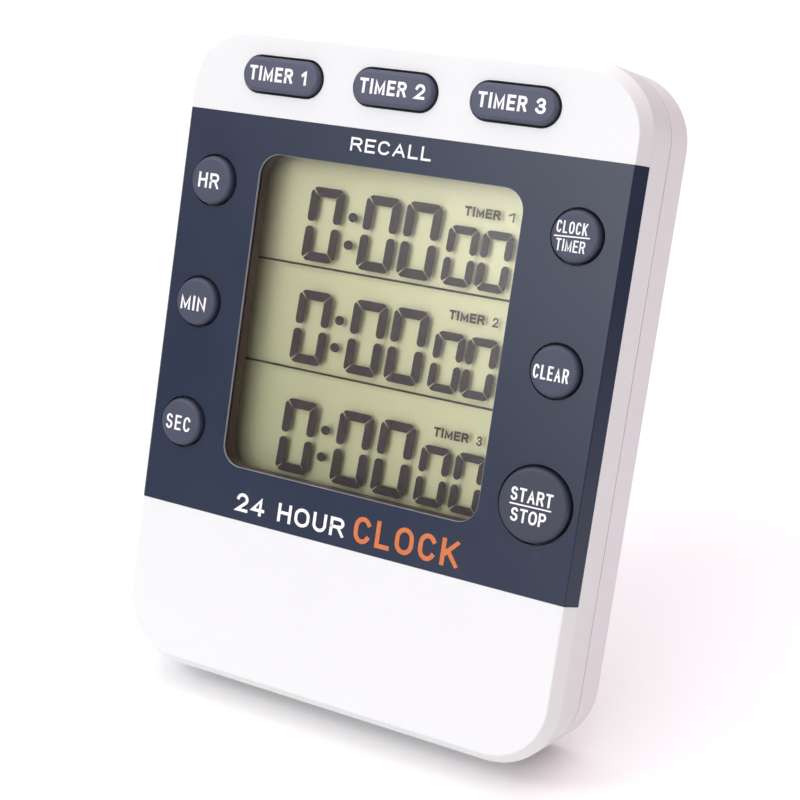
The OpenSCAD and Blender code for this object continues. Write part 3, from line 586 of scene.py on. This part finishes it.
ROWS = (
    # base z, height of the large and of the small figures, x of each, colon dots, corner of the label
    (79.9, 13.5, 10.55, (-19.2, -7.6, 0.7), (9.6, 16.25), ((-9.6, 83.85), (-9.4, 88.85)), (12.45, 92.3)),
    (61.1, 13.5, 10.75, (-18.8, -7.2, 1.15), (10.0, 16.45), ((-9.45, 65.15), (-9.25, 70.15)), (12.4, 74.1)),
    (40.7, 13.7, 10.85, (-18.65, -6.9, 1.7), (10.5, 17.45), ((-9.1, 44.9), (-8.95, 49.9)), (12.75, 53.25)),
)
LARGE_W, LARGE_T = 7.1, 1.72  # a figure's width, and the width of its segments
SMALL_W, SMALL_T = 6.0, 1.45
WORD_L, FIGURE_AT, FIGURE_L = 6.9, 8.45, 1.1  # a label's word, and where its figure starts and how wide it is
LABEL_H = 1.7
LABEL_RISE = 0.004
for number, (z, large_h, small_h, large, small, colon, (label_x, label_z)) in enumerate(ROWS, 1):
    outlines = []
    for x in large:
        outlines += zero(x, z, LARGE_W, large_h, LARGE_T)
    for x in small:
        outlines += zero(x, z, SMALL_W, small_h, SMALL_T)
    outlines += [dot(*place) for place in colon]
    plates(f"display_row_{number}", outlines, SEGMENT_Y, SEGMENT_T, "case", "lcd_segment", SEGMENT)
    for kind, text, start, length, stroke, gap in (("word", "TIMER", 0, WORD_L, 0.24, 0.14),
                                                   ("figure", str(number), FIGURE_AT, FIGURE_L, 0.17, 0.2)):
        x = label_x + start
        letters(f"display_{kind}_{number}", text, (x, label_z), (x + length, label_z + LABEL_H), SEGMENT_Y,
                "case", "lcd_segment", LABEL, stroke=stroke, gap=gap, rise=LABEL_RISE)
for number, z in enumerate((79.0, 59.95), 1):
    outline = [(-28.5, z - LINE_HALF), (27, z - LINE_HALF), (27, z + LINE_HALF), (-28.5, z + LINE_HALF)]
    plates(f"display_line_{number}", [outline], SEGMENT_Y, SEGMENT_T, "case", "lcd_segment", DIVIDER)

# ---- A raised arrow on the outside of the battery door, under its latch ----

ARROW_Y, ARROW_T = 19.9, 0.085
plates("door_arrow", [[(-1.6, 72.8), (1.6, 72.8), (0, 70.2)]], ARROW_Y, ARROW_T, "battery_door",
       "case_white", REAR)

# ---- Floor: pale where the camera sees it, and with painted shade far away, where only the panel reflects it ----

FLOOR_HALF = 3
PALE_CENTRE = (-0.35, 0.45, 0)
PALE_R, PAINTED_SHADE_R = 0.95, 1.7
floor_mesh = bpy.data.meshes.new("floor")
floor_mesh.from_pydata([(x * FLOOR_HALF, y * FLOOR_HALF, 0) for x, y in ((-1, -1), (1, -1), (1, 1), (-1, 1))],
                       [], [(0, 1, 2, 3)])
floor = bpy.data.objects.new("floor", floor_mesh)
SCENE.collection.objects.link(floor)
g = Graph("floor_pale_with_painted_shade")
distance = g.add("ShaderNodeVectorMath", operation="DISTANCE")
distance.inputs[1].default_value = PALE_CENTRE
g.link(g.coords, distance.inputs[0])
# Painted shade: away from the pale middle, the floor's colour turns near black so that the panel mirrors dark
# surroundings
far = g.span(distance.outputs["Value"], PALE_R, PAINTED_SHADE_R, 0.0, 1.0, smooth=True)
tone = g.math("ADD", far, g.span(g.noise(4), 0.3, 0.7, 0.0, 0.02))
g.link(g.ramp(tone, [(0.0, (0.93, 0.93, 0.93)), (1.0, (0.035, 0.035, 0.037))]), g.shader.inputs["Base Color"])
g.set(Roughness=0.7)
floor_mesh.materials.append(g.mat)

# ---- Studio: each part of the sky has a strength of its own. height is 0 at the horizon, 1 overhead ----

GLOW_TOWARDS = (-0.143, -0.904, 0.402)
RIGHT_DIMMING = 0.35
sky = Graph("studio", world=True)
height = sky.along((0, 0, 1))
# In front it is dark low down, which keeps the panel and its bevel dark; behind it is bright all over
front = sky.span(height, 0.02, 0.5, 0.04, 0.62, smooth=True)
behind = sky.span(height, 0.0, 0.5, 0.6, 0.9, smooth=True)
above = sky.span(height, 0.6, 0.95, 0.0, 1.1, smooth=True)
# A broad soft glow, which the panel and the display mirror towards the camera at their upper right
glow = sky.span(sky.along(GLOW_TOWARDS), 0.905, 0.99, 0.0, 2.9, smooth=True)
is_front = sky.span(sky.along((0, -1, 0)), -0.35, 0.25, 0.0, 1.0, smooth=True)
is_right = sky.span(sky.along((1, 0, 0)), 0.1, 0.8, 0.0, 1.0, smooth=True)
is_warm = sky.span(sky.along((1, 0, 0)), -0.05, 0.55, 0.0, 1.0, smooth=True)
level = sky.math("ADD", sky.math("MULTIPLY", front, is_front),
                 sky.math("MULTIPLY", behind, sky.math("SUBTRACT", 1.0, is_front)))
dimmed = sky.math("MULTIPLY", level, sky.math("SUBTRACT", 1.0, sky.math("MULTIPLY", is_right, RIGHT_DIMMING)))
sky.link(sky.math("ADD", sky.math("ADD", dimmed, above), glow), sky.shader.inputs["Strength"])
sky.link(sky.ramp(is_warm, [(0.0, (0.98, 0.98, 1.0)), (1.0, (1.0, 0.78, 0.84))]), sky.shader.inputs["Color"])
SCENE.world = sky.mat

# ---- One soft lamp, up at the front left ----

LAMP_PLACE = Vector((-0.75, -0.75, 0.95))
LAMP_AIM = Vector((0, 0, 0.06))
lamp_data = bpy.data.lights.new("key", "AREA")
lamp_data.size = 0.5
lamp_data.energy = 5.0
lamp = bpy.data.objects.new("key", lamp_data)
SCENE.collection.objects.link(lamp)
lamp.location = LAMP_PLACE
lamp.rotation_euler = (LAMP_AIM - LAMP_PLACE).to_track_quat("-Z", "Y").to_euler()

# ---- Camera, with its place and directions in the upright frame ----

CAMERA_PLACE = (138.24, -255.22, 97.31)
CAMERA_LOOK = Vector((-0.4514, 0.8825, -0.1325))
CAMERA_SIDE = Vector((0.8724, 0.4676, 0.1424))
SENSOR = 36
FOCAL_LENGTH = 74.475
camera_data = bpy.data.cameras.new("camera")
camera_data.sensor_width = SENSOR
camera_data.lens = FOCAL_LENGTH
camera_data.clip_start = 0.01
look = (TURN @ CAMERA_LOOK).normalized()
side = TURN @ CAMERA_SIDE
side = (side - side.dot(look) * look).normalized()
axes = Matrix((side, side.cross(look), -look)).transposed()
camera = bpy.data.objects.new("camera", camera_data)
SCENE.collection.objects.link(camera)
camera.matrix_world = Matrix.Translation(at(*CAMERA_PLACE)) @ axes.to_4x4()
SCENE.camera = camera
SCENE.view_settings.view_transform = "Standard"
SCENE.cycles.transparent_max_bounces = 24

bpy.context.view_layer.update()
